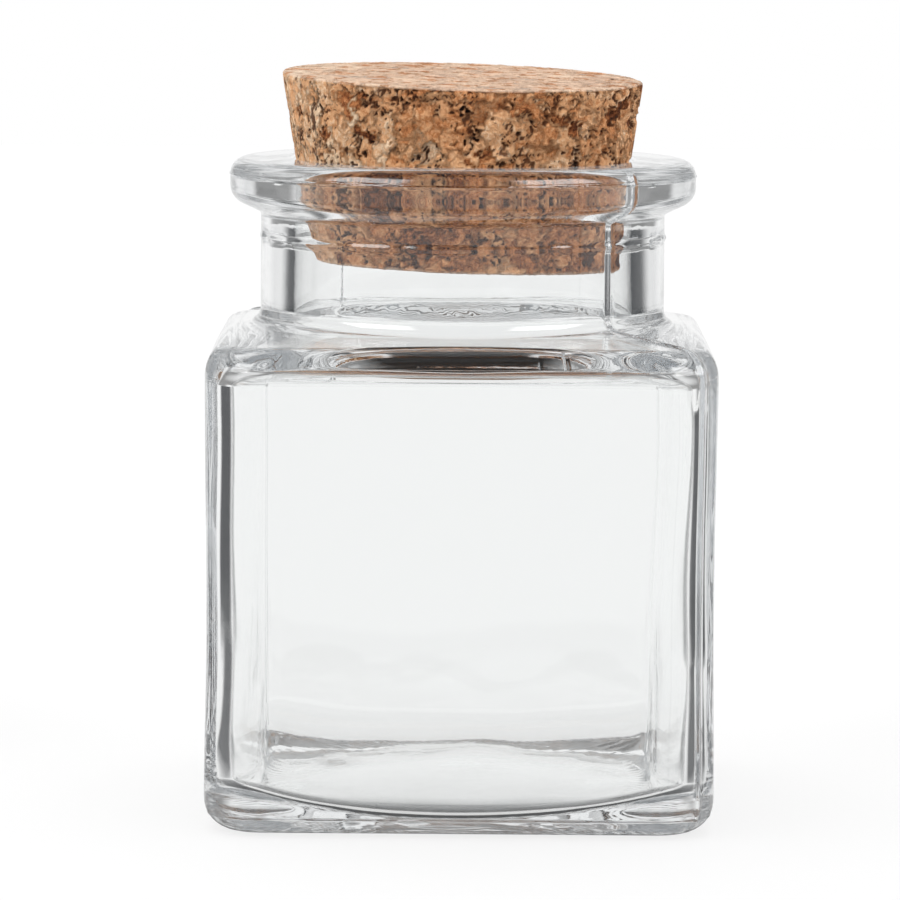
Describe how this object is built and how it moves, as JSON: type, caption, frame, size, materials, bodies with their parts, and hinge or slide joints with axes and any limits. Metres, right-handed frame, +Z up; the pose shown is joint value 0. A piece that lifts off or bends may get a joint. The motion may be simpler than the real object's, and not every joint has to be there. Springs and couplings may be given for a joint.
{
  "type": "glass jar with cork lid",
  "caption": "Small clear glass storage jar with a square body, sloped shoulder, round neck and beaded rim, closed by a tapered agglomerated cork stopper that lifts out.",
  "frame": {"origin": "middle of the base, on the plane that the jar stands on", "axes": "+Z up along the jar's axis towards the cork, -Y towards the front of the jar, +X to the right as seen from the front"},
  "size_m": [0.0508, 0.0508, 0.0742],
  "materials": {
    "clear_glass": "polished",
    "pressed_cork": "matte"
  },
  "bodies": {
    "jar": {"glass_jar": "clear_glass"},
    "cork": {"cork_stopper": "pressed_cork"}
  },
  "joints": [
    {"name": "cork_lift", "type": "slide", "parent": "jar", "child": "cork", "axis": [0, 0, 1], "range_m": [0, 0.06]}
  ]
}
